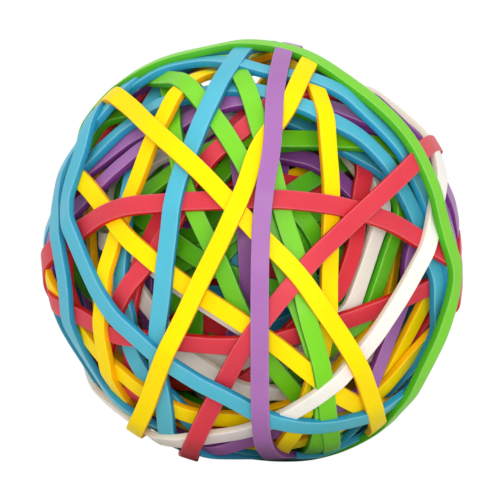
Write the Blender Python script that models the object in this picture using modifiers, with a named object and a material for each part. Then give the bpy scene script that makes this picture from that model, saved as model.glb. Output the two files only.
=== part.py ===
"""Rubber band ball: flat coloured bands, stretched one over another on a packed inner winding.

Every band is a closed loop. It is laid in the order of the table below, pulled taut over the bands
that are already there, so it lies on them where it crosses them and spans the hollows between them.
"""

import math

import bmesh
import bpy
import numpy as np
from mathutils import Euler

# Driving sizes, in metres
WINDING_RADIUS = 0.0230        # packed inner winding that the loose-lying bands go round
BAND_WIDTH = 0.0031            # across the face of a band
BAND_THICKNESS = 0.0009        # cut thickness of a band
LAYING_GAP = 0.00008           # kept between a band and whatever it lies on

# How finely things are worked out
CORNERS_PER_BAND = 26          # most flats that one loop is made of
TRIAL_ANGLES = 360             # places round a loop where its height is found
TRIAL_LANES = 7                # places across a band where its height is found
LANE_MARGIN = 0.13             # share of a band's width by which a crossing is widened
WINDING_SEGMENTS = 20
WINDING_RINGS = 12

# Rubber colours: linear red, green, blue, and roughness
RUBBER = {
    "blue": ((0.08, 0.42, 0.62), 0.42),
    "yellow": ((1.00, 0.80, 0.01), 0.42),
    "red": ((0.76, 0.06, 0.08), 0.42),
    "green": ((0.18, 0.55, 0.05), 0.42),
    "white": ((0.86, 0.80, 0.74), 0.45),
    "purple": ((0.38, 0.15, 0.47), 0.42),
    "winding": ((0.05, 0.035, 0.03), 0.60),
}

# Bands from the first laid to the last: colour, the number in its name, then three angles in degrees.
# turn and lift aim the loop's axis: turn about +Z from +X, then lift above the level plane.
# shift is how far the loop lies off the ball's widest circle, towards that axis.
BANDS = (
    ("blue", 51, -6, 8, 0),
    ("red", 52, -95, -58, 0),
    ("green", 53, -13, -48, 0),
    ("green", 54, -23, -68, 0),
    ("purple", 55, -116, -41, -2),
    ("green", 1, -172, -18, -10),
    ("white", 2, -125, 11, 5),
    ("green", 3, -142, -30, 10),
    ("purple", 4, -52, -20, 8),
    ("green", 5, -40, 56, 10),
    ("white", 6, -87, 33, -2),
    ("green", 7, -47, -33, 8),
    ("purple", 8, 8, 3, -10),
    ("white", 9, -97, 55, -10),
    ("white", 10, -152, 22, -8),
    ("red", 11, -141, 20, 10),
    ("green", 12, -138, 21, -2),
    ("white", 13, -70, -26, 6),
    ("white", 14, -44, 46, -10),
    ("white", 15, -52, 46, 0),
    ("yellow", 16, -113, 28, -2),
    ("blue", 17, -98, -21, 0),
    ("blue", 18, -100, -34, 1),
    ("yellow", 19, -74, 8, -9),
    ("green", 21, -111, -36, -9),
    ("red", 22, -36, -24, 0),
    ("green", 23, -75, -60, -6),
    ("blue", 26, -45, 12, -4),
    ("purple", 27, -83, -41, -3),
    ("purple", 28, -86, -38, 0),
    ("red", 29, -26, -40, -6),
    ("green", 30, -12, 24, 0),
    ("yellow", 31, -86, 31, -5),
    ("purple", 32, -124, 24, -5),
    ("red", 33, -108, 65, -3),
    ("blue", 34, -106, -21, 12),
    ("green", 35, -164, -21, 7),
    ("yellow", 36, -165, 3, -7),
    ("yellow", 37, -33, -15, -12),
    ("yellow", 38, -15, 52, -10),
    ("green", 39, -175, -15, -6),
    ("blue", 40, -111, -20, 0),
    ("yellow", 24, -99, 9, 3),
    ("purple", 25, -104, -14, -6),
    ("red", 20, -87, 10, 4),
    ("red", 41, -97, -65, 7),
    ("blue", 42, -72, 5, 0),
    ("blue", 43, -17, -10, -9),
    ("white", 44, -131, 30, -3),
    ("red", 45, -9, -39, 18),
    ("blue", 46, -53, 38, -5),
    ("yellow", 47, -167, -40, 5),
    ("yellow", 48, -3, -25, -8),
    ("purple", 49, -5, -3, 7),
    ("green", 50, -113, -14, -5),
)


def clear_scene():
    """Removes whatever objects the file opened with."""
    for thing in list(bpy.data.objects):
        bpy.data.objects.remove(thing, do_unlink=True)


def rubber_material(name):
    """One rubber colour as a Principled material."""
    colour, roughness = RUBBER[name]
    material = bpy.data.materials.new(name + "_rubber")
    material.use_nodes = True
    shader = material.node_tree.nodes["Principled BSDF"]
    shader.inputs["Base Color"].default_value = (*colour, 1.0)
    shader.inputs["Roughness"].default_value = roughness
    shader.inputs["Metallic"].default_value = 0.0
    material.diffuse_color = (*colour, 1.0)
    return material


def axis_rotation(turn, lift):
    """Rotation that carries +Z onto a loop's axis."""
    return Euler((0.0, math.radians(90 - lift), math.radians(turn)), "XYZ")


class Loop:
    """One taut band, worked out in its own frame, where +Z is the loop's axis."""

    def __init__(self, turn, lift, shift):
        self.rotation = axis_rotation(turn, lift)
        self.to_ball = np.array(self.rotation.to_matrix())
        self.shift = math.radians(shift)

    def outward(self, angles):
        """Directions from the ball's centre to the middle of the band."""
        level = math.cos(self.shift)
        return np.stack([np.cos(angles) * level, np.sin(angles) * level,
                         np.full_like(angles, math.sin(self.shift))], axis=-1)

    def across(self, angles):
        """Directions across the band's width."""
        level = -math.sin(self.shift)
        return np.stack([np.cos(angles) * level, np.sin(angles) * level,
                         np.full_like(angles, math.cos(self.shift))], axis=-1)

    def close_round(self, corners):
        """Takes the corners of the taut outline, and works out the flat from each one to the next."""
        angles = np.arctan2(corners[:, 1], corners[:, 0]) % (2 * math.pi)
        order = np.argsort(angles)
        self.angles = angles[order]
        self.middle = self.outward(self.angles) * np.linalg.norm(corners[order], axis=1)[:, None]
        self.ends = np.append(self.angles, self.angles[0] + 2 * math.pi)
        self.side = self.across((self.ends[:-1] + self.ends[1:]) / 2)
        along = np.roll(self.middle, -1, axis=0) - self.middle
        facing = np.cross(along, self.side)
        facing /= np.linalg.norm(facing, axis=1)[:, None]
        depth = np.einsum("ij,ij->i", facing, self.middle)
        self.facing = facing * np.sign(depth)[:, None]
        self.outer_depth = np.abs(depth) + BAND_THICKNESS

    def height_along(self, rays):
        """How far the band's outer face lies from the ball's centre along each ray, or 0 beside it."""
        own = rays @ self.to_ball
        around = (np.arctan2(own[:, 1], own[:, 0]) - self.angles[0]) % (2 * math.pi) + self.angles[0]
        flat = np.clip(np.searchsorted(self.ends, around, side="right") - 1, 0, len(self.angles) - 1)
        squareness = np.einsum("ij,ij->i", self.facing[flat], own)
        height = self.outer_depth[flat] / squareness
        lane = np.einsum("ij,ij->i", own * height[:, None] - self.middle[flat], self.side[flat])
        over_band = (squareness > 0.0) & (np.abs(lane) <= BAND_WIDTH * (0.5 + LANE_MARGIN))
        return np.where(over_band, height, 0.0)


def height_needed(loop, laid):
    """Least distance from the ball's centre to the band's inner face, all round the loop."""
    angles = np.arange(TRIAL_ANGLES) * 2 * math.pi / TRIAL_ANGLES
    needed = np.full(TRIAL_ANGLES, WINDING_RADIUS + LAYING_GAP)
    middle = loop.outward(angles)
    across = loop.across(angles)
    for lane in np.linspace(-BAND_WIDTH / 2, BAND_WIDTH / 2, TRIAL_LANES):
        rays = middle * (WINDING_RADIUS + 3 * BAND_THICKNESS) + across * lane
        rays = (rays / np.linalg.norm(rays, axis=1)[:, None]) @ loop.to_ball.T
        for other in laid:
            height = other.height_along(rays)
            lifted = np.sqrt(np.maximum((height + LAYING_GAP) ** 2 - lane ** 2, 0.0))
            needed = np.maximum(needed, np.where(height > 0.0, lifted, 0.0))
    return angles, needed


def taut_outline(angles, needed):
    """Convex outline round the points needed, as corners in order round the centre."""
    points = np.stack([np.cos(angles), np.sin(angles)], axis=1) * needed[:, None]
    start = int(np.argmax(needed))
    order = [(start + step) % len(points) for step in range(len(points) + 1)]
    corners = []
    for index in order:
        while len(corners) > 1 and turns_inward(points[corners[-2]], points[corners[-1]], points[index]):
            corners.pop()
        corners.append(index)
    return points[corners[:-1]]


def turns_inward(first, second, third):
    """Whether the middle point lies on or inside the line between its neighbours."""
    ahead = second - first
    beyond = third - first
    return ahead[0] * beyond[1] - ahead[1] * beyond[0] <= 0.0


def crossing(first, second, third, fourth):
    """Where the line through two points meets the line through two more."""
    ahead = second - first
    back = third - fourth
    spread = ahead[0] * back[1] - ahead[1] * back[0]
    reach = ((third[0] - first[0]) * back[1] - (third[1] - first[1]) * back[0]) / spread
    return first + ahead * reach


def fewer_corners(outline, most):
    """Takes flats away, each where that adds the least area outside, until few enough are left."""
    corners = [np.array(point) for point in outline]
    while len(corners) > most:
        best = None
        count = len(corners)
        for index in range(count):
            before = corners[index - 1]
            start = corners[index]
            end = corners[(index + 1) % count]
            after = corners[(index + 2) % count]
            turned = (start - before)[0] * (after - end)[1] - (start - before)[1] * (after - end)[0]
            if turned <= 0.0:
                continue
            peak = crossing(before, start, end, after)
            side = end - start
            rise = peak - start
            added = abs(side[0] * rise[1] - side[1] * rise[0]) / 2
            if best is None or added < best[0]:
                best = (added, index, peak)
        if best is None:
            break
        _, index, peak = best
        corners[index] = peak
        corners.pop((index + 1) % count)
    return np.array(corners)


def lay_band(turn, lift, shift, laid):
    """Works out a taut loop over the bands that are already laid."""
    loop = Loop(turn, lift, shift)
    outline = taut_outline(*height_needed(loop, laid))
    loop.close_round(fewer_corners(outline, CORNERS_PER_BAND))
    return loop


def band_object(name, loop, material, collection):
    """A closed ribbon through the loop's corners, thickened outwards."""
    edge = loop.across(loop.angles) * BAND_WIDTH / 2
    ribbon = bmesh.new()
    lower = [ribbon.verts.new(point) for point in loop.middle - edge]
    upper = [ribbon.verts.new(point) for point in loop.middle + edge]
    count = len(lower)
    for index in range(count):
        after = (index + 1) % count
        ribbon.faces.new((lower[index], lower[after], upper[after], upper[index]))
    mesh = bpy.data.meshes.new(name)
    ribbon.to_mesh(mesh)
    ribbon.free()
    mesh.materials.append(material)
    band = bpy.data.objects.new(name, mesh)
    band.rotation_euler = loop.rotation
    collection.objects.link(band)
    wall = band.modifiers.new("Thickness", "SOLIDIFY")
    wall.thickness = BAND_THICKNESS
    wall.offset = 1.0
    wall.use_even_offset = True
    return band


def winding_object(material, collection):
    """The packed inner winding: every turn that the outer bands hide, as one solid."""
    ball = bmesh.new()
    bmesh.ops.create_uvsphere(ball, u_segments=WINDING_SEGMENTS, v_segments=WINDING_RINGS,
                              radius=WINDING_RADIUS)
    mesh = bpy.data.meshes.new("inner_winding")
    ball.to_mesh(mesh)
    ball.free()
    mesh.materials.append(material)
    winding = bpy.data.objects.new("inner_winding", mesh)
    collection.objects.link(winding)
    return winding


def stand_on_ground(things):
    """Hangs every piece on one empty that centres the ball over the origin, its lowest point at zero."""
    bpy.context.view_layer.update()
    depsgraph = bpy.context.evaluated_depsgraph_get()
    points = []
    for thing in things:
        shown = thing.evaluated_get(depsgraph)
        points += [shown.matrix_world @ vertex.co for vertex in shown.data.vertices]
    low = [min(point[axis] for point in points) for axis in range(3)]
    high = [max(point[axis] for point in points) for axis in range(3)]
    stand = bpy.data.objects.new("ball_stand_point", None)
    bpy.context.scene.collection.objects.link(stand)
    stand.location = (-(low[0] + high[0]) / 2, -(low[1] + high[1]) / 2, -low[2])
    for thing in things:
        thing.parent = stand


def main():
    clear_scene()
    collection = bpy.data.collections.new("rubber_band_ball")
    bpy.context.scene.collection.children.link(collection)
    materials = {name: rubber_material(name) for name in RUBBER}
    things = [winding_object(materials["winding"], collection)]
    laid = []
    for colour, number, turn, lift, shift in BANDS:
        loop = lay_band(turn, lift, shift, laid)
        laid.append(loop)
        name = f"{colour}_band_{number:02d}"
        things.append(band_object(name, loop, materials[colour], collection))
    stand_on_ground(things)
    bpy.context.view_layer.update()


main()
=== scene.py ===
"""Rubber band ball: the looks of a ball that is wound from flat coloured rubber bands.

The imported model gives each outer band's axis, shift, height and place in the laying order. Here every band is
laid once more over the ones before it, in fine steps, and runs where the photograph shows it. It is pulled
taut over what it crosses, spans the hollows, tilts and sways as a real band does, and has rounded cut edges.
Inner bands and a packed core lie under the outer ones.
"""

import math
from typing import NamedTuple

import bpy
import numpy as np
from mathutils.bvhtree import BVHTree
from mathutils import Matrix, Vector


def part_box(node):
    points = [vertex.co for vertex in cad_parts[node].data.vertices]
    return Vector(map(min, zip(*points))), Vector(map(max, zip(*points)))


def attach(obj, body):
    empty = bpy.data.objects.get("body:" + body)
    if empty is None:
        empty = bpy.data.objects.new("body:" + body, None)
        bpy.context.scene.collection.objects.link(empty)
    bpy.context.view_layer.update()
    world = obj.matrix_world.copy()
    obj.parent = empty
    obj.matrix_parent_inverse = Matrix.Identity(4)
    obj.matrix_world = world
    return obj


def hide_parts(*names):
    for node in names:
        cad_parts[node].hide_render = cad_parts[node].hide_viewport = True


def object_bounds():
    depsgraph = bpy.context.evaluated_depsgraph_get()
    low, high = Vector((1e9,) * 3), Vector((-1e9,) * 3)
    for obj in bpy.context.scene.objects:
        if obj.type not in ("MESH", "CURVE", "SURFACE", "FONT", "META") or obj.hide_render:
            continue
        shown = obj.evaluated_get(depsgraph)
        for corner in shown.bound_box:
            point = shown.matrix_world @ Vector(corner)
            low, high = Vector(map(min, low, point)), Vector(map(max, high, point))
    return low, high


bl_info = {
    "name": "Rubber Band Ball",
    "version": (1, 0, 0),
    "blender": (4, 5, 0),
    "location": "View3D > Sidebar > Band Ball",
    "description": "Lays flat coloured rubber bands round a packed core, and lights the ball",
    "category": "Object",
}

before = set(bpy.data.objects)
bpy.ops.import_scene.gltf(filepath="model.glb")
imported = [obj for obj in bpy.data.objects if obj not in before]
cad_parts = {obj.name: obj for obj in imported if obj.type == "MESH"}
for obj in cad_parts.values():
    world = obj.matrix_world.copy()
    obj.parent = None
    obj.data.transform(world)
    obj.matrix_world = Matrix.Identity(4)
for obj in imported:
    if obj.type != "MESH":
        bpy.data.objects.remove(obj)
CAD_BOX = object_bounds()
BODY = "root"
CORE_NODE = "inner_winding"

# How the photograph shows the ball, in its own pixels from its left and top edges
PHOTO_WIDTH = 502
PHOTO_MIDDLE = PHOTO_WIDTH / 2
BALL_IN_PHOTO = (254.0, 253.5)
PIXEL = 1 / 6000               # metres on the ball for one pixel
AWAY = np.array([0.0, 1.0, 0.0])  # from the camera through the ball

# How finely the bands are worked out
STATIONS = 400                 # places round a loop
INNER_STRIDE = 2               # an inner band's skin has a ring at every second station
LANES = 9                      # places across a band where it feels what lies under it
MAP_CELLS = 260                # cells along each edge of the six-sided map of heights
SETTLING_ROUNDS = 3            # times that a band's way and height are worked out in turn
STEP = 2 * math.pi / STATIONS
ANGLES = np.arange(STATIONS) * STEP
COSINES = np.cos(ANGLES)
SINES = np.sin(ANGLES)
BEND_SPREAD = 1.8              # stations over which a bend is rounded
TWIST_SPREAD = 9.0             # stations over which a twist is evened out
MAP_STEPS = 4                  # samples for each station when a band is added to the map
MAP_LANES = 27                 # samples across a band when it is added to the map
OUTSIDE = 0.06                 # metres from the ball's centre, outside every band
LEAST_SLANT = 1e-6             # stands for zero where a direction runs along a wall of the box
CORNER_PLACES = 7              # decimals of a metre to which the same corner of two faces agrees
CROSSING_RISE = 0.85           # least share of a crossing edge that runs along the axis
WAVE_COUNTS = range(3, 9)      # waves round a loop of which a band's wandering is made up
MILLIMETRES = 1000             # in a metre

# How closely a band follows where the photograph shows it
MOST_SIDEWAYS = 0.20           # radians that it may leave its circle
WAY_STEP = 6.0                 # pixels between the points of a seen way, once it is filled in
WAY_SPREAD = math.radians(5.5)  # how far along the loop a seen point counts
AFTER_SPREAD = math.radians(18)  # how far beyond its seen stretch a band turns back to its own circle
AFTER_PULL = 0.01              # weight of a seen point over that longer spread, beside its weight close by
FREE_PULL = 0.02               # weight of its own wandering, beside the seen points
LEAST_WEIGHT = 0.02            # weight of a seen point at the ball's rim
RIM_SHARE = 0.995              # seen points further out than this share of the radius are brought in to it
REACH_ROUNDS = 2               # times that the height of the band at its seen points is looked up

# Where the photograph shows an outer band's middle line, or hides it under a later one, by the band's number
SEEN_WAYS = {
    4: ((162, 160), (148, 180)),
    5: ((98, 172), (108, 188), (114, 197)),
    7: ((125, 262), (112, 300)),
    8: ((247, 245), (248, 280), (249, 310)),
    9: ((415, 340), (405, 347), (400, 352)),
    10: ((379, 230), (374, 250), (367, 270), (362, 283)),
    11: ((370, 165), (362, 185), (358, 240), (352, 262)),
    12: ((399, 238), (394, 260), (388, 280), (380, 297)),
    13: ((137, 150), (120, 165), (113, 178)),
    14: ((185, 358), (200, 368), (218, 378)),
    15: ((76, 202), (80, 215), (88, 242), (94, 248), (120, 246), (150, 264), (180, 288), (215, 311),
         (240, 326)),
    16: ((154, 417), (173, 428), (221, 431), (235, 428)),
    17: ((165, 83), (150, 90), (138, 97), (118, 112)),
    18: ((157, 100), (150, 106), (125, 119), (110, 128), (97, 140)),
    21: ((362, 124), (375, 130), (388, 145)),
    22: ((152, 228), (138, 268), (131, 290), (126, 312), (122, 345), (125, 370), (130, 388), (138, 398)),
    23: ((284, 138), (320, 136), (345, 142)),
    26: ((136, 366), (143, 376), (169, 397), (177, 411), (185, 430)),
    27: ((190, 103), (180, 108), (172, 117), (140, 133), (120, 144), (100, 157), (88, 166)),
    28: ((225, 98), (245, 99), (306, 96), (345, 108), (358, 118)),
    29: ((256, 115), (248, 122), (238, 132), (218, 146), (205, 157)),
    30: ((197, 215), (203, 232), (222, 265), (228, 285), (236, 303), (243, 315)),
    31: ((413, 357), (404, 373), (389, 390), (374, 399), (357, 404)),
    32: ((408, 315), (390, 341), (374, 365)),
    33: ((51, 306), (60, 313), (82, 326), (114, 337), (141, 340), (190, 345), (229, 349), (295, 338),
         (342, 323), (365, 316), (381, 307), (405, 300), (422, 292)),
    34: ((235, 83), (255, 88), (265, 92), (302, 105), (315, 110), (345, 122), (360, 130), (375, 145),
         (388, 163), (405, 190), (413, 210), (427, 272), (430, 300), (430, 318), (427, 341), (420, 362)),
    35: ((152, 76), (180, 80), (200, 95), (225, 130), (240, 155)),
    36: ((312, 87), (322, 100), (328, 130), (331, 160), (332, 190), (332, 225), (331, 260), (330, 290),
         (329, 315)),
    37: ((175, 92), (162, 112), (150, 140), (141, 165), (131, 188), (120, 215), (108, 250), (104, 270),
         (100, 295), (97, 320), (99, 350), (108, 379), (119, 399), (130, 411)),
    38: ((77, 177), (88, 193), (98, 203), (125, 238), (150, 260), (180, 284), (215, 307), (240, 322),
         (270, 341), (285, 353), (300, 366), (345, 403)),
    39: ((277, 188), (282, 210), (287, 228), (295, 248), (301, 262), (305, 315), (319, 350), (325, 381),
         (327, 410)),
    40: ((182, 64), (205, 56), (222, 58), (245, 65), (265, 71), (315, 75), (330, 82), (340, 88), (360, 104),
         (380, 121), (395, 137), (405, 155), (418, 175), (428, 200), (434, 222), (443, 245), (450, 270),
         (452, 290), (447, 312), (442, 332)),
    41: ((95, 218), (110, 208), (140, 204), (200, 200), (300, 199), (340, 204), (360, 210), (385, 218),
         (400, 225), (415, 235), (422, 245)),
    42: ((66, 150), (60, 165), (56, 185), (54, 205), (55, 225), (58, 245), (62, 270), (66, 300), (69, 338),
         (80, 357), (95, 379), (108, 401), (121, 414), (131, 419), (151, 426), (168, 433)),
    43: ((240, 53), (225, 72), (210, 98), (200, 120), (193, 140), (177, 175), (172, 200), (168, 230),
         (164, 260), (161, 290), (157, 330), (155, 351)),
    44: ((436, 203), (435, 225), (430, 240), (422, 260), (412, 280), (402, 300), (390, 318), (373, 345),
         (345, 375), (326, 394), (302, 409), (289, 416), (252, 434), (221, 440), (178, 444), (150, 438)),
    45: ((425, 145), (418, 160), (400, 180), (380, 197), (360, 215), (340, 235), (320, 253), (305, 270),
         (290, 290), (278, 305), (253, 334), (234, 367), (221, 390), (207, 418), (189, 453)),
    46: ((143, 77), (134, 88), (115, 106), (100, 116), (85, 131), (72, 150), (64, 175), (62, 195), (64, 210),
         (68, 230), (75, 250), (86, 275), (99, 300), (113, 320), (134, 337), (151, 356), (173, 370),
         (205, 389), (237, 404), (253, 415), (278, 424), (310, 431), (342, 426), (381, 413), (397, 401)),
    47: ((118, 92), (140, 116), (160, 135), (205, 175), (222, 195), (245, 218), (256, 232), (275, 250),
         (305, 280), (319, 306), (341, 333), (357, 362), (370, 389), (373, 408)),
    48: ((307, 65), (296, 85), (290, 105), (284, 120), (262, 130), (255, 150), (248, 180), (240, 200),
         (218, 245), (195, 290), (178, 330), (170, 342), (157, 373), (145, 408), (133, 433)),
    49: ((278, 75), (274, 95), (273, 110), (275, 130), (272, 155), (266, 178), (263, 200), (260, 250),
         (260, 310), (260, 405), (261, 437), (268, 455), (282, 462), (297, 463)),
    50: ((150, 65), (175, 55), (200, 48), (240, 41), (260, 41), (300, 48), (321, 60), (340, 74), (360, 88),
         (380, 103), (400, 122), (415, 140), (425, 160), (437, 190), (444, 215), (451, 240), (458, 265),
         (460, 285), (455, 305), (445, 335), (430, 368), (413, 391)),
}

# Bands that aren't laid in the order of their numbers: those from FIRST_DEEP on come before all the others,
# and a late one comes between the two numbers that its place lies between
FIRST_DEEP = 51
LAID_LATE = {35: 37.5}

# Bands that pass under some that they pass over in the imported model, so that they lie lower
PASSED_UNDER = (20, 24, 25)

# Inner bands that show in the hollows: colour, then the axis as turn and lift in degrees
INNER_PEEKS = (
    ("green", -22, -17),
    ("purple", 2, -15),
    ("green", -51, -74),
)
SPREAD_TURN = 137.5            # degrees from one spread inner band's axis to the next
SPREAD_COLOURS = ("green", "red", "white", "purple", "blue", "green", "yellow", "red")
INNER_SEEDS = 100              # added to an inner band's number, so that it wanders in its own way

# How much the outer bands differ from one another in size, as a share
WIDTH_SPREAD = 0.03
THICKNESS_SPREAD = 0.05

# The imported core, with early turns that are pressed flat into it
CORE_AROUND = 192              # places round its skin
CORE_DOWN = 96                 # steps from its top to its foot
CORE_TURNS = 16
CORE_TURN_REACH = 0.0016       # metres from the middle of a turn to its edge
CORE_TURN_SINK = 0.0002        # metres that the face of a turn lies below the core's radius
CORE_TURN_SHARE = 0.4          # how much of the way to that face a turn brings the skin
CORE_SETTLING = 0.00005        # metres that a turn lowers the skin beside it

# How much of the cut side, with its painted shade, and of the rim, with its painted highlight, shows along the
# edges of a band's section
FACE_END_RIM = 0.15            # rim at the ends of the face
CORNER_SIDE = 0.4              # side at the rounded outer corner, which is all rim
SIDE_TOP_RIM = 0.1             # rim at the outer end of the cut side
FOOT_RIM = 0.4                 # rim at the rounded inner corner, which is all side
UNDER_SIDE = 0.5               # painted side shade across the inner face
CROWN_START = 1.5              # edge radii from the end of the face to where it has half its crown

# Patterns of the rubber as scale, detail and roughness: on the ball in metres, along a band in millimetres
BROAD_PATTERN = (110.0, 2.0, 0.5)
FINE_PATTERN = (900.0, 3.0, 0.6)
DUST_PATTERN = (2600.0, 2.0, 0.7)
LINE_PATTERN = (1.6, 3.0, 0.6)
LINE_STRETCH = (0.12, 3.2, 1.0)  # drawn out along the band, and close together across it
PATTERN_MIDDLE = 0.5

# How strongly the patterns show
RUBBER_LOOK = {"Mottle": 0.12, "Bloom": 0.06, "Gloss": 0.38}
FINE_MOTTLE = 0.08
DUSTY_BLOOM = (0.6, 1.4)       # strength of the bloom where the dust is thinnest and thickest
RIM_HIGHLIGHT_RANGE = (0.25, 0.95)        # strength of the painted rim highlight where the fine pattern is lowest and highest
GLOSS_MIDDLE = 0.4             # value of the fine pattern at which the roughness is the plain one
GLOSS_SWING = 0.22             # how much rougher the fine pattern makes the surface
DULL_SIDE = 0.12               # how much rougher the cut sides are
LINE_SHARE = 0.6               # how much of the grain is lines. The rest is dust
GRAIN_STRENGTH = 0.35
GRAIN_HEIGHT = 0.00004         # metres

# Painted shade: rubber deep in the ball is painted nearer to the painted shade of the cut sides, darker the
# deeper it lies
DEPTH_SHADE_FULL_RADIUS = 0.0245        # metres from the ball's centre within which the painted shade is full
DEPTH_SHADE_END_RADIUS = 0.0310          # metres from the ball's centre beyond which there is no painted shade
DEPTH_SHADE_SHARE = 0.75           # how near the deepest rubber is painted to the shaded colour of the cut sides

# The studio, in metres
FLOOR_RADIUS = 2.0
FLOOR_CORNERS = 64
FLOOR_ROUGHNESS = 0.9
CAMERA_PLACE = -0.5            # along the way it looks
LAMP_SIZE = 0.35

# The soft lamps: name, which power they have, place, then tip and lean in degrees
LAMPS = (
    ("top softbox", "top_watts", (-0.05, -0.12, 0.38), 20, -8),
    ("fill softbox", "fill_watts", (0.05, -0.40, 0.02), 95, 7),
)


class Finish(NamedTuple):
    """How a rubber colour looks beside its plain face: painted shade on its cut sides, a painted highlight on
    its rims, and its reflection.
    """
    side_shade_depth: float          # power by which the painted shade makes the cut sides deeper in colour
    side_shade_lightness: float      # how light the painted shade on the cut sides is
    rim_highlight_paleness: float        # how far the painted highlight takes the rims towards white
    reflection: float          # how strongly the face reflects


# Painted shade and highlight: each colour's cut sides are painted as a deeper, darker copy of its face, and its
# rims paler
FINISHES = {
    "blue": Finish(1.9, 0.80, 0.22, 0.30),
    "yellow": Finish(2.4, 1.00, 0.05, 0.06),
    "red": Finish(2.1, 1.00, 0.16, 0.25),
    "green": Finish(1.6, 0.62, 0.16, 0.28),
    "white": Finish(2.6, 0.92, 0.30, 0.30),
    "purple": Finish(2.1, 0.55, 0.22, 0.30),
    "core": Finish(1.2, 0.90, 0.10, 0.20),
}


def length_property(name, description, default, **more):
    """A length property in metres."""
    return bpy.props.FloatProperty(name=name, description=description, default=default, unit="LENGTH",
                                   precision=5, **more)


def colour_property(name, description, default):
    """A linear colour property."""
    return bpy.props.FloatVectorProperty(name=name, description=description, default=default,
                                         subtype="COLOR", size=3, min=0.0, max=1.0)


class BandShape(bpy.types.PropertyGroup):
    """Section and lie of the bands."""
    width: length_property("Width", "Across the face of an outer band", 0.0031)
    thickness: length_property("Thickness", "Cut thickness of an outer band", 0.00118)
    edge: length_property("Edge radius", "Rounding of the cut edges", 0.00016)
    crown: length_property("Crown", "How far the middle of the face stands above its edges", 0.00003)
    inner_thickness: length_property("Inner thickness", "Cut thickness of an inner band", 0.00095)
    press: length_property("Press", "How far a band sinks into what it lies on", 0.00024)
    slack: length_property("Slack", "How far a band may sag below its solid in the packed model", 0.00015)
    first_limit: length_property("First limit", "Furthest out that the first band may lie", 0.0320)
    last_limit: length_property("Last limit", "Furthest out that the last band may lie", 0.0364)
    wall_gap: length_property("Wall gap", "Room that is left to the packed model's box", 0.00055)
    sway: length_property("Sway", "How far a band wanders sideways where the photograph hides it", 0.0004)
    twist: bpy.props.FloatProperty(name="Most twist", description="Steepest lean across a band, as a slope",
                                   default=0.30, min=0.0, max=1.0)


class Winding(bpy.types.PropertyGroup):
    """What lies under the outer bands."""
    depth: length_property("Winding depth", "How far the core lies below the packed model's winding", 0.0026)
    build_up: length_property("Build-up", "How much higher the last inner band lies than the first", 0.0016)
    inner_bands: bpy.props.IntProperty(name="Inner bands", description="How many are spread round the core",
                                       default=30, min=0, max=60)


class RubberColours(bpy.types.PropertyGroup):
    """Colours of the rubber, as linear values."""
    blue: colour_property("Blue", "Face of the blue bands", (0.065, 0.430, 0.570))
    yellow: colour_property("Yellow", "Face of the yellow bands", (0.970, 0.710, 0.000))
    red: colour_property("Red", "Face of the red bands", (0.640, 0.034, 0.056))
    green: colour_property("Green", "Face of the green bands", (0.170, 0.590, 0.004))
    white: colour_property("White", "Face of the white bands", (0.860, 0.830, 0.770))
    purple: colour_property("Purple", "Face of the purple bands", (0.340, 0.125, 0.380))
    # Near-black as painted shade: where the gaps reach the core, it stands in for the shade deep between the
    # bands
    core: colour_property("Core", "The packed core", (0.060, 0.035, 0.030))


class Studio(bpy.types.PropertyGroup):
    """Floor and light."""
    ambient: bpy.props.FloatProperty(name="Ambient", description="Strength of the white surroundings",
                                     default=0.76, min=0.0)
    top_watts: bpy.props.FloatProperty(name="Top lamp", description="Power of the soft lamp above",
                                       default=0.4, min=0.0)
    fill_watts: bpy.props.FloatProperty(name="Fill lamp", description="Power of the soft lamp low in front",
                                        default=1.3, min=0.0)
    floor: colour_property("Floor", "The pale floor", (0.95, 0.95, 0.95))


WINDING_LOW, WINDING_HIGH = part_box(CORE_NODE)
BALL_CENTRE = np.array((WINDING_LOW + WINDING_HIGH) / 2)
WINDING_RADIUS = (WINDING_HIGH - WINDING_LOW).z / 2
ROOM_BELOW = BALL_CENTRE - np.array(CAD_BOX[0])
ROOM_ABOVE = np.array(CAD_BOX[1]) - BALL_CENTRE


def room(outward):
    """Distance from the ball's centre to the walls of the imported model's box, along each direction.

    A direction meets each pair of walls at their distance over its own share of that axis. The nearest
    counts."""
    walls = np.where(outward > 0, ROOM_ABOVE, ROOM_BELOW)
    return (walls / np.maximum(np.abs(outward), LEAST_SLANT)).min(axis=1)


class Pile:
    """How high the ball stands in every direction, as a map of heights on the six sides of a cube."""

    def __init__(self):
        self.heights = np.zeros(6 * MAP_CELLS ** 2)

    def start(self, radius):
        """Makes the pile a plain ball."""
        self.heights[:] = radius

    @staticmethod
    def cells(rays):
        """Cell of the map that each ray meets. Equal angles on the ball are equal steps on a cube's side."""
        main = np.abs(rays).argmax(axis=1)
        row = np.arange(len(rays))
        ahead = rays[row, main]
        spots = np.stack([rays[row, (main + 1) % 3], rays[row, (main + 2) % 3]]) / np.abs(ahead)
        steps = ((np.arctan(spots) * 4 / math.pi + 1) / 2 * MAP_CELLS).astype(int)
        steps = np.clip(steps, 0, MAP_CELLS - 1)
        side = main * 2 + (ahead > 0)
        return (side * MAP_CELLS + steps[0]) * MAP_CELLS + steps[1]

    def height(self, rays):
        """Height of the pile along rays of any grid shape."""
        flat = rays.reshape(-1, 3)
        return self.heights[self.cells(flat)].reshape(rays.shape[:-1])

    def add(self, points):
        """Raises the pile to points of any grid shape."""
        flat = points.reshape(-1, 3)
        np.maximum.at(self.heights, self.cells(flat), np.linalg.norm(flat, axis=1))


# The ball as far as it is wound. Each operator adds to it
wound = Pile()


def unit(vectors):
    """Vectors scaled to length one."""
    return vectors / np.linalg.norm(vectors, axis=-1, keepdims=True)


def bell(distance, spread):
    """Height of a bell curve at a distance from its middle, where it is one."""
    return np.exp(-0.5 * (distance / spread) ** 2)


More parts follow.
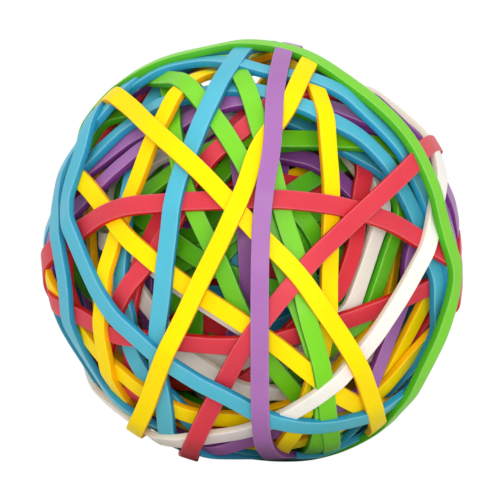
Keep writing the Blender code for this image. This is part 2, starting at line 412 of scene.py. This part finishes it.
def softened(values, spread):
    """Mean round the loop, weighted by a bell curve that is spread over so many stations."""
    reach = int(3 * spread) + 1
    weights = bell(np.arange(-reach, reach + 1), spread)
    wrapped = np.concatenate([values[-reach:], values, values[:reach]])
    return np.convolve(wrapped, weights / weights.sum(), mode="valid")


def taut(needed):
    """Radii of the tight outline round the radii that are needed.

    The stations that hold the outline out are found by walking round and dropping each one that lies inside
    the line between its neighbours. Between two of them the outline is straight: there one over the radius
    changes as a sine of the angle to either end."""
    across = (COSINES * needed).tolist()
    up = (SINES * needed).tolist()
    start = int(needed.argmax())
    held = []
    for step in range(STATIONS + 1):
        here = (start + step) % STATIONS
        while len(held) > 1:
            first, second = held[-2], held[-1]
            turned = ((across[second] - across[first]) * (up[here] - up[first])
                      - (up[second] - up[first]) * (across[here] - across[first]))
            if turned > 0.0:
                break
            held.pop()
        held.append(here)
    corners = np.sort(held[:-1])
    stations = np.arange(STATIONS)
    after = np.searchsorted(corners, stations, side="right")
    first = corners[after - 1]
    second = corners[after % len(corners)]
    behind = ((stations - first) % STATIONS) * STEP
    ahead = ((second - stations) % STATIONS) * STEP
    return np.sin(behind + ahead) / (np.sin(ahead) / needed[first] + np.sin(behind) / needed[second])


def walked(way):
    """Points of a way in the photograph, filled in along its straight parts to one for every few pixels."""
    if len(way) < 2:
        return way
    parts = []
    for start, end in zip(way[:-1], way[1:]):
        count = math.ceil(np.linalg.norm(end - start) / WAY_STEP)
        parts.append(start + (end - start) * np.arange(count)[:, None] / count)
    return np.concatenate(parts + [way[-1:]])


class Loop:
    """One band's closed way round the ball: its axis, its shift off the widest circle and its sway."""

    def __init__(self, axis, shift, seed, way=()):
        axis = unit(np.array(axis))
        back = unit(AWAY - axis * axis[1])
        self.own = np.stack([back, np.cross(axis, back), axis])
        self.shift = shift
        self.way = walked(np.array(way, float))
        self.wander = self.long_waves(np.random.default_rng(seed))

    @staticmethod
    def long_waves(chance):
        """A sum of cosines with more and more waves round the loop, brought to a spread of one."""
        waves = np.zeros(STATIONS)
        for count in WAVE_COUNTS:
            waves += chance.normal() * np.cos(count * ANGLES + chance.uniform(0, 2 * math.pi)) / count
        return waves / waves.std()

    def directions(self, lean):
        """Outward and across directions at each station, for a way that leans off the widest circle."""
        level = np.cos(lean)
        rise = np.sin(lean)
        outward = np.stack([COSINES * level, SINES * level, rise], axis=1) @ self.own
        across = np.stack([-COSINES * rise, -SINES * rise, level], axis=1) @ self.own
        return outward, across

    def lean(self, outer, sway):
        """Angle off the widest circle at each station.

        Where the photograph shows the band, each seen point is brought back onto the ball at the band's own
        height, and the way is a bell-weighted mean of those points. Elsewhere it only wanders."""
        free = self.wander * sway / outer.mean()
        if not len(self.way):
            return self.shift + free
        reach = outer.mean() * np.ones(len(self.way))
        for _ in range(REACH_ROUNDS):
            seen, weight = self.seen_points(reach)
            around = np.arctan2(seen[:, 1], seen[:, 0]) % (2 * math.pi)
            reach = outer[(around / STEP).astype(int) % STATIONS]
        offset = np.arcsin(np.clip(seen[:, 2], -1, 1)) - self.shift
        offset = np.clip(offset, -MOST_SIDEWAYS, MOST_SIDEWAYS)
        apart = (ANGLES[:, None] - around[None, :] + math.pi) % (2 * math.pi) - math.pi
        pull = weight * (bell(apart, WAY_SPREAD) + AFTER_PULL * bell(apart, AFTER_SPREAD))
        return self.shift + (pull @ offset + free * FREE_PULL) / (pull.sum(axis=1) + FREE_PULL)

    def seen_points(self, reach):
        """Directions in the loop's own frame of the points that the photograph shows, and how sure each is.

        A point near the ball's rim says little about how deep it lies, so its weight is small."""
        flat = (self.way - BALL_IN_PHOTO) * PIXEL
        distance = np.linalg.norm(flat, axis=1)
        flat = flat * np.minimum(1.0, RIM_SHARE * reach / np.maximum(distance, PIXEL))[:, None]
        depth = np.sqrt(reach ** 2 - (flat ** 2).sum(axis=1))
        points = np.stack([flat[:, 0], -depth, -flat[:, 1]], axis=1) / reach[:, None]
        axis = self.own[2]
        across = unit(axis - points * (points @ axis)[:, None])
        return points @ self.own.T, across[:, 0] ** 2 + across[:, 2] ** 2 + LEAST_WEIGHT


def solid_height(name, loop):
    """Distance from the ball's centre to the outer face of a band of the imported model, at each station."""
    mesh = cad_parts[name].data
    corners = [corner.co for corner in mesh.vertices]
    tree = BVHTree.FromPolygons(corners, [tuple(face.vertices) for face in mesh.polygons])
    outward, _ = loop.directions(np.full(STATIONS, loop.shift))
    heights = np.full(STATIONS, np.nan)
    for station, ray in enumerate(outward):
        _, _, _, distance = tree.ray_cast(BALL_CENTRE + ray * OUTSIDE, -ray)
        if distance is not None:
            heights[station] = OUTSIDE - distance
    known = np.isfinite(heights)
    return np.interp(ANGLES, ANGLES[known], heights[known], period=2 * math.pi)


class Lie:
    """How a band lies at each station: the middle of its inner face, and its own three directions.

    It is pulled taut over the pile, but no lower than floor and no higher than roof."""

    def __init__(self, loop, pile, shape, width, thickness, floor=0.0, roof=math.inf):
        lanes = np.linspace(-0.5, 0.5, LANES) * width
        third = LANES // 3
        arm = lanes[-third:].mean() - lanes[:third].mean()
        radius = np.full(STATIONS, np.median(pile.heights))
        for _ in range(SETTLING_ROUNDS):
            outward, across = loop.directions(loop.lean(radius + thickness, shape.sway))
            rays = unit(outward[:, None] * radius[:, None, None] + across[:, None] * lanes[:, None])
            lifted = np.sqrt((pile.height(rays) - shape.press) ** 2 - lanes ** 2)
            highest = np.minimum(roof, room(outward) - thickness - shape.wall_gap)
            lifted = np.minimum(np.maximum(lifted, np.reshape(floor, (-1, 1))), highest[:, None])
            left = taut(lifted[:, :third].max(axis=1))
            right = taut(lifted[:, -third:].max(axis=1))
            slope = np.clip((right - left) / arm, -shape.twist, shape.twist)
            slope = softened(slope, TWIST_SPREAD)
            radius = softened(taut((lifted - slope[:, None] * lanes).max(axis=1)), BEND_SPREAD)
        self.middle = outward * radius[:, None]
        self.along = unit(np.roll(self.middle, -1, axis=0) - np.roll(self.middle, 1, axis=0))
        tilted = across + outward * slope[:, None]
        self.across = unit(tilted - self.along * (tilted * self.along).sum(axis=1)[:, None])
        self.out = np.cross(self.across, self.along)
        self.out *= np.sign((self.out * outward).sum(axis=1))[:, None]
        self.width = width
        self.thickness = thickness

    def carried(self, section):
        """A section (across, outward) carried along the band, as stations x points x 3."""
        return (self.middle[:, None] + self.across[:, None] * section[:, :1]
                + self.out[:, None] * section[:, 1:])

    def press_on(self, pile):
        """Raises the pile by this band."""
        lanes = np.linspace(-0.5, 0.5, MAP_LANES) * self.width
        face = self.carried(np.stack([lanes, np.full(MAP_LANES, self.thickness)], axis=1))
        after = np.roll(face, -1, axis=0)
        for part in range(MAP_STEPS):
            pile.add(face + (after - face) * (part / MAP_STEPS))


def band_section(width, thickness, edge, crown):
    """Round-cornered section of a band, counted round from the left end of its face.

    Each row is across, outward, share of cut side and its painted shade, share of rim and its painted
    highlight. The face has a low crown."""
    flat = width / 2 - edge
    turn = edge * math.sqrt(0.5)
    near = flat - edge * CROWN_START
    top = [(-flat, thickness, 0.0, FACE_END_RIM), (-near, thickness + crown / 2, 0.0, 0.0),
           (0.0, thickness + crown, 0.0, 0.0),
           (near, thickness + crown / 2, 0.0, 0.0), (flat, thickness, 0.0, FACE_END_RIM)]
    right = [(flat + turn, thickness - edge + turn, CORNER_SIDE, 1.0),
             (width / 2, thickness - edge, 1.0, SIDE_TOP_RIM),
             (width / 2, edge, 1.0, 0.0),
             (flat + turn, edge - turn, 1.0, FOOT_RIM)]
    under = [(flat, 0.0, UNDER_SIDE, 0.0), (-flat, 0.0, UNDER_SIDE, 0.0)]
    left = [(-across, outward, side, rim) for across, outward, side, rim in reversed(right)]
    return np.array(top + right + under + left)


def ribbon_mesh(name, lie, shape, stride=1):
    """Skin of one band: its section carried round the loop, closed both ways, at every so many stations.

    Its map says how far a point lies along the loop and round the section, in millimetres."""
    section = band_section(lie.width, lie.thickness, shape.edge, shape.crown)
    rings = lie.carried(section[:, :2])[::stride] + BALL_CENTRE
    middle = lie.middle[::stride]
    stations, points = rings.shape[:2]
    index = np.arange(stations * points).reshape(stations, points)
    ahead = np.roll(index, -1, axis=0)
    quads = np.stack([index, ahead, np.roll(ahead, -1, axis=1), np.roll(index, -1, axis=1)], axis=-1)
    length = np.linalg.norm(np.roll(middle, -1, axis=0) - middle, axis=1)
    travelled = np.concatenate([[0.0], np.cumsum(length)])
    around = np.linalg.norm(np.roll(section[:, :2], -1, axis=0) - section[:, :2], axis=1)
    girth = np.concatenate([[0.0], np.cumsum(around)])
    corner = np.array([(0, 0), (1, 0), (1, 1), (0, 1)])
    u = travelled[np.arange(stations)[:, None, None] + corner[:, 0]]
    v = girth[np.arange(points)[None, :, None] + corner[:, 1]]
    places = np.stack(np.broadcast_arrays(u, v), axis=-1) * MILLIMETRES
    mesh = bpy.data.meshes.new(name)
    mesh.vertices.add(stations * points)
    mesh.vertices.foreach_set("co", rings.ravel())
    mesh.loops.add(quads.size)
    mesh.loops.foreach_set("vertex_index", quads.ravel().astype(np.int32))
    mesh.polygons.add(stations * points)
    mesh.polygons.foreach_set("loop_start", np.arange(0, quads.size, 4, dtype=np.int32))
    mesh.update(calc_edges=True)
    mesh.uv_layers.new(name="lengthways").data.foreach_set("uv", places.ravel())
    # Masks for the painted shade on the cut sides and the painted highlight on the rims
    for attribute, column in (("cut_side", 2), ("rim", 3)):
        values = np.tile(section[:, column], stations)
        mesh.attributes.new(attribute, "FLOAT", "POINT").data.foreach_set("value", values)
    mesh.shade_smooth()
    return mesh


class Nodes:
    """Short ways to place and join shader nodes."""

    def __init__(self, tree):
        self.tree = tree
        tree.nodes.clear()

    def add(self, kind, **settings):
        """A node of one kind, with settings by attribute name."""
        node = self.tree.nodes.new(kind)
        for key, value in settings.items():
            setattr(node, key, value)
        return node

    def join(self, source, target):
        """A link from an output to an input."""
        self.tree.links.new(source, target)

    def noise(self, vector, scale, detail, roughness):
        """Value of a noise texture."""
        node = self.add("ShaderNodeTexNoise")
        node.inputs["Scale"].default_value = scale
        node.inputs["Detail"].default_value = detail
        node.inputs["Roughness"].default_value = roughness
        self.join(vector, node.inputs["Vector"])
        return node.outputs["Fac"]

    def math(self, operation, first, second):
        """A math node on two values, each an output or a number."""
        node = self.add("ShaderNodeMath", operation=operation)
        for socket, value in zip(node.inputs, (first, second)):
            if isinstance(value, (int, float)):
                socket.default_value = value
            else:
                self.join(value, socket)
        return node.outputs[0]

    def total(self, first, second):
        """The sum of two values."""
        return self.math("ADD", first, second)

    def product(self, first, *others):
        """The product of two or more values."""
        for other in others:
            first = self.math("MULTIPLY", first, other)
        return first

    def rest(self, value):
        """What is left of one when a value is taken from it."""
        return self.math("SUBTRACT", 1.0, value)

    def swing(self, value, middle, strength):
        """How far a value is off a middle, times a strength."""
        return self.product(self.math("SUBTRACT", value, middle), strength)

    def grey(self, value):
        """A colour that has one value in all its channels."""
        node = self.add("ShaderNodeCombineColor")
        for channel in ("Red", "Green", "Blue"):
            self.join(value, node.inputs[channel])
        return node.outputs["Color"]

    def mix(self, amount, first, second, blend="MIX"):
        """A colour mix. Each side is an output or a colour."""
        node = self.add("ShaderNodeMix", data_type="RGBA", blend_type=blend)
        if isinstance(amount, bpy.types.NodeSocket):
            self.join(amount, node.inputs[0])
        else:
            node.inputs[0].default_value = amount
        for socket, value in ((node.inputs[6], first), (node.inputs[7], second)):
            if isinstance(value, bpy.types.NodeSocket):
                self.join(value, socket)
            else:
                socket.default_value = (*value, 1.0)
        return node.outputs[2]

    def remap(self, value, low, high):
        """A value from 0..1 brought to low..high."""
        node = self.add("ShaderNodeMapRange")
        node.inputs["To Min"].default_value = low
        node.inputs["To Max"].default_value = high
        self.join(value, node.inputs["Value"])
        return node.outputs["Result"]


def painted_depth_shade(nodes, place):
    """How much painted shade a place gets from its depth in the ball: most of all near the core, and none at
    the surface.
    """
    from_centre = nodes.add("ShaderNodeVectorMath", operation="DISTANCE")
    from_centre.inputs[1].default_value = BALL_CENTRE
    nodes.join(place, from_centre.inputs[0])
    depth_unshaded = nodes.add("ShaderNodeMapRange", interpolation_type="SMOOTHSTEP")
    depth_unshaded.inputs["From Min"].default_value = DEPTH_SHADE_FULL_RADIUS
    depth_unshaded.inputs["From Max"].default_value = DEPTH_SHADE_END_RADIUS
    nodes.join(from_centre.outputs["Value"], depth_unshaded.inputs["Value"])
    return nodes.product(nodes.rest(depth_unshaded.outputs["Result"]), DEPTH_SHADE_SHARE)


def grained_normal(nodes, dust):
    """Normal of a face that has fine lines along the band, and dust on it."""
    strip = nodes.add("ShaderNodeUVMap", uv_map="lengthways").outputs["UV"]
    stretch = nodes.add("ShaderNodeMapping")
    stretch.inputs["Scale"].default_value = LINE_STRETCH
    nodes.join(strip, stretch.inputs["Vector"])
    lines = nodes.noise(stretch.outputs["Vector"], *LINE_PATTERN)
    grain = nodes.total(nodes.product(lines, LINE_SHARE), nodes.product(dust, 1 - LINE_SHARE))
    bump = nodes.add("ShaderNodeBump")
    bump.inputs["Strength"].default_value = GRAIN_STRENGTH
    bump.inputs["Distance"].default_value = GRAIN_HEIGHT
    nodes.join(grain, bump.inputs["Height"])
    return bump.outputs["Normal"]


def cut_rubber_group():
    """Shared look of cut rubber: mottled face, painted shade on the cut sides and deep in the ball, painted
    highlight on the rims, fine lengthwise grain.
    """
    group = bpy.data.node_groups.get("Cut rubber")
    if group:
        return group
    group = bpy.data.node_groups.new("Cut rubber", "ShaderNodeTree")
    for name in ("Face", "Side", "Rim"):
        group.interface.new_socket(name, in_out="INPUT", socket_type="NodeSocketColor")
    for name, default in RUBBER_LOOK.items():
        socket = group.interface.new_socket(name, in_out="INPUT", socket_type="NodeSocketFloat")
        socket.default_value = default
    for name, kind in (("Colour", "Color"), ("Roughness", "Float"), ("Normal", "Vector")):
        group.interface.new_socket(name, in_out="OUTPUT", socket_type=f"NodeSocket{kind}")
    nodes = Nodes(group)
    given = nodes.add("NodeGroupInput").outputs
    out = nodes.add("NodeGroupOutput").inputs
    place = nodes.add("ShaderNodeTexCoord").outputs["Object"]
    # Mask of the cut sides, which carry painted shade
    side = nodes.add("ShaderNodeAttribute", attribute_name="cut_side").outputs["Fac"]
    rim = nodes.add("ShaderNodeAttribute", attribute_name="rim").outputs["Fac"]
    broad = nodes.noise(place, *BROAD_PATTERN)
    fine = nodes.noise(place, *FINE_PATTERN)
    dust = nodes.noise(place, *DUST_PATTERN)

    # Colour: face, or painted shade on the cut sides and deep in the ball, then light and dark patches, a pale
    # bloom on the face, and a painted highlight along the rims
    body = nodes.mix(nodes.math("MAXIMUM", side, painted_depth_shade(nodes, place)), given["Face"], given["Side"])
    shade = nodes.total(nodes.swing(broad, PATTERN_MIDDLE, given["Mottle"]),
                        nodes.swing(fine, PATTERN_MIDDLE, FINE_MOTTLE))
    body = nodes.mix(1.0, body, nodes.grey(nodes.total(shade, 1.0)), "MULTIPLY")
    bloom = nodes.product(broad, given["Bloom"], nodes.remap(dust, *DUSTY_BLOOM), nodes.rest(side))
    body = nodes.mix(bloom, body, given["Rim"])
    # Painted highlight along the rims, its strength varied by the fine pattern
    rim_highlight_amount = nodes.product(rim, nodes.remap(fine, *RIM_HIGHLIGHT_RANGE))
    nodes.join(nodes.mix(rim_highlight_amount, body, given["Rim"]), out["Colour"])

    # Surface: uneven gloss, duller on the cut sides, and the grain
    rough = nodes.total(given["Gloss"], nodes.swing(fine, GLOSS_MIDDLE, GLOSS_SWING))
    nodes.join(nodes.total(rough, nodes.product(side, DULL_SIDE)), out["Roughness"])
    nodes.join(grained_normal(nodes, dust), out["Normal"])
    return group


def rubber_material(name, face):
    """One rubber colour. Its cut sides get painted shade, deeper and darker in colour, and its rims a painted
    highlight, paler.

    The painted side shade is the face's colour raised to a power, which keeps its strongest channel as it was."""
    title = f"{name} rubber"
    material = bpy.data.materials.get(title)
    if material:
        return material
    material = bpy.data.materials.new(title)
    material.use_nodes = True
    nodes = Nodes(material.node_tree)
    out = nodes.add("ShaderNodeOutputMaterial")
    shader = nodes.add("ShaderNodeBsdfPrincipled")
    look = nodes.add("ShaderNodeGroup", node_tree=cut_rubber_group())
    face = np.array(face)
    finish = FINISHES[name]
    # Painted shade for the cut sides is a deeper, darker copy of the face; the paler copy is the painted rim
    # highlight, also used for the dust bloom
    deeper = face ** finish.side_shade_depth * face.max() ** (1 - finish.side_shade_depth)
    side = deeper * finish.side_shade_lightness
    pale = face + (1 - face) * finish.rim_highlight_paleness
    shader.inputs["Specular IOR Level"].default_value = finish.reflection
    for socket, colour in (("Face", face), ("Side", side), ("Rim", pale)):
        look.inputs[socket].default_value = (*colour, 1.0)
    for socket, strength in RUBBER_LOOK.items():
        look.inputs[socket].default_value = strength
    for source, target in (("Colour", "Base Color"), ("Roughness", "Roughness"), ("Normal", "Normal")):
        nodes.join(look.outputs[source], shader.inputs[target])
    nodes.join(shader.outputs["BSDF"], out.inputs["Surface"])
    return material


def number_of(name):
    """The number that the name of a band ends with."""
    return int(name.split("_")[-1])


def place_in_laying(name):
    """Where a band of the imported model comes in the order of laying, from the number in its name."""
    number = number_of(name)
    if number >= FIRST_DEEP:
        return number - 2 * FIRST_DEEP
    return LAID_LATE.get(number, number)


def add_piece(name, mesh, colour, node):
    """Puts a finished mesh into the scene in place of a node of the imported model."""
    piece = bpy.data.objects.new(name, mesh)
    bpy.context.scene.collection.objects.link(piece)
    face = getattr(bpy.context.scene.band_colours, colour)
    mesh.materials.append(rubber_material(colour, face))
    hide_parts(node)
    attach(piece, BODY)


def axis_at(turn, lift):
    """Direction that is turned about +Z from +X and then lifted, in degrees."""
    turn, lift = math.radians(turn), math.radians(lift)
    return math.cos(lift) * math.cos(turn), math.cos(lift) * math.sin(turn), math.sin(lift)


def spread_axes(count):
    """Axes spread evenly over half the ball: each turns by one step and stands a little higher."""
    for number in range(count):
        lift = math.degrees(math.asin((number + 0.5) / count))
        yield axis_at(number * SPREAD_TURN, lift)


def node_axis(name):
    """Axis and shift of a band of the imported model, from the edges that cross it.

    Each crossing edge makes one and the same angle with the axis, so the axis is the vector whose product
    with every such edge is one. Where the edges' middles point tells how far the loop is shifted."""
    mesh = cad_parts[name].data
    corners = np.empty(len(mesh.vertices) * 3)
    mesh.vertices.foreach_get("co", corners)
    corners = np.unique((corners.reshape(-1, 3) - BALL_CENTRE).round(CORNER_PLACES), axis=0)
    rough = np.linalg.svd(corners - corners.mean(axis=0))[2][2]
    steps = corners[None] - corners[:, None]
    length = np.linalg.norm(steps, axis=2)
    length[steps @ rough < CROSSING_RISE * length] = np.inf
    np.fill_diagonal(length, np.inf)
    nearest = length.argmin(axis=1)
    lower = np.flatnonzero(np.isfinite(length.min(axis=1)))
    edges = steps[lower, nearest[lower]]
    axis = unit(np.linalg.lstsq(unit(edges), np.ones(len(edges)), rcond=None)[0])
    middles = unit(corners[lower] + edges / 2)
    return axis, float(np.arcsin((middles @ axis).mean()))


def core_heights(rays, radius):
    """Radius of the core's skin along each ray.

    Each early turn is a lane round the ball, square to its own axis. It brings the skin in its lane part of
    the way to one level, and the skin beside it settles a little."""
    heights = np.full(rays.shape[:-1], radius)
    level = radius - CORE_TURN_SINK
    for axis in spread_axes(CORE_TURNS):
        off_middle = np.abs(rays @ np.array(axis)) * radius
        pressed = heights * (1 - CORE_TURN_SHARE) + level * CORE_TURN_SHARE
        heights = np.where(off_middle < CORE_TURN_REACH, pressed, heights - CORE_SETTLING)
    return heights


def core_mesh(radius):
    """Skin of the core: rings of points at even angles from top to foot, closed by a fan at either end."""
    around = np.linspace(0, 2 * math.pi, CORE_AROUND + 1)[:-1]
    down = np.linspace(0, math.pi, CORE_DOWN + 1)[1:-1]
    level = np.sin(down)[:, None]
    rise = np.cos(down)[:, None] * np.ones(CORE_AROUND)
    rays = np.stack([np.cos(around) * level, np.sin(around) * level, rise], axis=-1)
    skin = (rays * core_heights(rays, radius)[..., None]).reshape(-1, 3)
    points = np.concatenate([skin, [[0, 0, radius], [0, 0, -radius]]]) + BALL_CENTRE
    index = np.arange(len(skin)).reshape(-1, CORE_AROUND)
    after = np.roll(index, -1, axis=1)
    quads = np.stack([index[:-1], index[1:], after[1:], after[:-1]], axis=-1).reshape(-1, 4)
    top = np.full(CORE_AROUND, len(skin))
    upper_fan = np.stack([top, index[0], after[0]], axis=1)
    lower_fan = np.stack([top + 1, after[-1], index[-1]], axis=1)
    mesh = bpy.data.meshes.new("packed_core")
    mesh.from_pydata(points.tolist(), [], quads.tolist() + upper_fan.tolist() + lower_fan.tolist())
    mesh.shade_smooth()
    return mesh


class BALL_OT_pack_core(bpy.types.Operator):
    """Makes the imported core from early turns, pressed flat into one lump"""
    bl_idname = "ball.pack_core"
    bl_label = "Pack core"

    def execute(self, context):
        radius = WINDING_RADIUS - context.scene.winding.depth
        wound.start(radius)
        add_piece("packed_core", core_mesh(radius), "core", CORE_NODE)
        return {"FINISHED"}


class BALL_OT_wind_inner_bands(bpy.types.Operator):
    """Winds the inner bands round the core, in all directions, then the ones that show in the hollows"""
    bl_idname = "ball.wind_inner_bands"
    bl_label = "Wind inner bands"

    def execute(self, context):
        shape = context.scene.band_shape
        winding = context.scene.winding
        spread = list(spread_axes(winding.inner_bands))
        chosen = [(SPREAD_COLOURS[number % len(SPREAD_COLOURS)], axis) for number, axis in enumerate(spread)]
        chosen += [(colour, axis_at(turn, lift)) for colour, turn, lift in INNER_PEEKS]
        roofs = np.linspace(-winding.build_up, 0.0, len(chosen)) + WINDING_RADIUS - shape.inner_thickness
        for number, ((colour, axis), roof) in enumerate(zip(chosen, roofs), start=1):
            loop = Loop(axis, 0.0, INNER_SEEDS + number)
            lie = Lie(loop, wound, shape, shape.width, shape.inner_thickness, roof=roof)
            lie.press_on(wound)
            name = f"inner_{colour}_band_{number:02d}"
            mesh = ribbon_mesh(name, lie, shape, INNER_STRIDE)
            add_piece(name, mesh, colour, CORE_NODE)
        return {"FINISHED"}


class BALL_OT_stretch_outer_bands(bpy.types.Operator):
    """Stretches the outer bands over the ball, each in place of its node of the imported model"""
    bl_idname = "ball.stretch_outer_bands"
    bl_label = "Stretch outer bands"

    def execute(self, context):
        shape = context.scene.band_shape
        names = [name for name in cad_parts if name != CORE_NODE]
        limits = np.linspace(shape.first_limit, shape.last_limit, len(names))
        for name, limit in zip(sorted(names, key=place_in_laying), limits):
            colour = name.split("_")[0]
            number = number_of(name)
            chance = np.random.default_rng(number)
            width = shape.width * chance.uniform(1 - WIDTH_SPREAD, 1 + WIDTH_SPREAD)
            thickness = shape.thickness * chance.uniform(1 - THICKNESS_SPREAD, 1 + THICKNESS_SPREAD)
            loop = Loop(*node_axis(name), number, SEEN_WAYS.get(number, ()))
            floor = np.minimum(solid_height(name, loop) - shape.slack, limit) - thickness
            if number in PASSED_UNDER:
                floor -= shape.thickness
            lie = Lie(loop, wound, shape, width, thickness, floor, roof=limit - thickness)
            lie.press_on(wound)
            title = f"stretched_{name}"
            add_piece(title, ribbon_mesh(title, lie, shape), colour, name)
        return {"FINISHED"}


class BALL_OT_set_studio(bpy.types.Operator):
    """Sets the floor, the soft light, the white surroundings and the camera"""
    bl_idname = "ball.set_studio"
    bl_label = "Set studio"

    def execute(self, context):
        studio = context.scene.studio
        self.lay_floor(studio)
        self.light_world(context, studio)
        self.hang_lamps(context, studio)
        self.aim_camera(context)
        context.scene.view_settings.view_transform = "Standard"
        return {"FINISHED"}

    @staticmethod
    def lay_floor(studio):
        """A wide, round and pale floor, which throws light back up at the ball."""
        bpy.ops.mesh.primitive_circle_add(vertices=FLOOR_CORNERS, radius=FLOOR_RADIUS, fill_type="NGON")
        floor = bpy.context.object
        floor.name = "studio_floor"
        material = bpy.data.materials.new("studio floor")
        material.use_nodes = True
        shader = material.node_tree.nodes["Principled BSDF"]
        shader.inputs["Base Color"].default_value = (*studio.floor, 1.0)
        shader.inputs["Roughness"].default_value = FLOOR_ROUGHNESS
        floor.data.materials.append(material)

    @staticmethod
    def light_world(context, studio):
        """White all round: full strength where the camera or a reflection meets it, softer as light."""
        world = bpy.data.worlds.new("white surroundings")
        context.scene.world = world
        world.use_nodes = True
        nodes = Nodes(world.node_tree)
        out = nodes.add("ShaderNodeOutputWorld")
        path = nodes.add("ShaderNodeLightPath")
        seen = nodes.math("MAXIMUM", path.outputs["Is Camera Ray"], path.outputs["Is Glossy Ray"])
        sky = nodes.add("ShaderNodeBackground")
        sky.inputs["Strength"].default_value = studio.ambient
        white = nodes.add("ShaderNodeBackground")
        white.inputs["Strength"].default_value = 1.0
        mix = nodes.add("ShaderNodeMixShader")
        for background in (sky, white):
            background.inputs["Color"].default_value = (1.0, 1.0, 1.0, 1.0)
        nodes.join(seen, mix.inputs[0])
        nodes.join(sky.outputs[0], mix.inputs[1])
        nodes.join(white.outputs[0], mix.inputs[2])
        nodes.join(mix.outputs[0], out.inputs["Surface"])

    @staticmethod
    def hang_lamps(context, studio):
        """Two large soft lamps: one above the ball and a little in front of it, one low in front."""
        for name, power, spot, tip, lean in LAMPS:
            lamp = bpy.data.lights.new(name, "AREA")
            lamp.shape = "DISK"
            lamp.size = LAMP_SIZE
            lamp.energy = getattr(studio, power)
            holder = bpy.data.objects.new(name, lamp)
            holder.location = spot
            holder.rotation_euler = (math.radians(tip), math.radians(lean), 0.0)
            context.scene.collection.objects.link(holder)

    @staticmethod
    def aim_camera(context):
        """A level camera without perspective, framed as the photograph is."""
        view = bpy.data.cameras.new("camera")
        view.type = "ORTHO"
        view.ortho_scale = PHOTO_WIDTH * PIXEL
        camera = bpy.data.objects.new("camera", view)
        across = (PHOTO_MIDDLE - BALL_IN_PHOTO[0]) * PIXEL
        up = (BALL_IN_PHOTO[1] - PHOTO_MIDDLE) * PIXEL
        camera.location = (BALL_CENTRE[0] + across, CAMERA_PLACE, BALL_CENTRE[2] + up)
        camera.rotation_euler = (math.pi / 2, 0.0, 0.0)
        context.scene.collection.objects.link(camera)
        context.scene.camera = camera


class BALL_PT_panel(bpy.types.Panel):
    """Lists the steps that make the ball"""
    bl_idname = "BALL_PT_panel"
    bl_label = "Band Ball"
    bl_space_type = "VIEW_3D"
    bl_region_type = "UI"
    bl_category = "Band Ball"

    def draw(self, context):
        for step in STEPS:
            self.layout.operator(step.bl_idname)
        for group in GROUPS:
            box = self.layout.box()
            settings = getattr(context.scene, group)
            for key in settings.__annotations__:
                box.prop(settings, key)


STEPS = (BALL_OT_pack_core, BALL_OT_wind_inner_bands, BALL_OT_stretch_outer_bands, BALL_OT_set_studio)
GROUPS = {"band_shape": BandShape, "winding": Winding, "band_colours": RubberColours, "studio": Studio}


def register():
    """Adds the settings, the operators and the panel."""
    for group in GROUPS.values():
        bpy.utils.register_class(group)
    for key, group in GROUPS.items():
        setattr(bpy.types.Scene, key, bpy.props.PointerProperty(type=group))
    for step in STEPS:
        bpy.utils.register_class(step)
    bpy.utils.register_class(BALL_PT_panel)


def unregister():
    """Takes the panel, the operators and the settings away again."""
    bpy.utils.unregister_class(BALL_PT_panel)
    for step in reversed(STEPS):
        bpy.utils.unregister_class(step)
    for key, group in GROUPS.items():
        delattr(bpy.types.Scene, key)
        bpy.utils.unregister_class(group)


def main():
    """Makes the whole ball in its studio."""
    register()
    bpy.ops.ball.pack_core()
    bpy.ops.ball.wind_inner_bands()
    bpy.ops.ball.stretch_outer_bands()
    bpy.ops.ball.set_studio()
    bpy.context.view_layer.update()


if __name__ == "__main__":
    main()
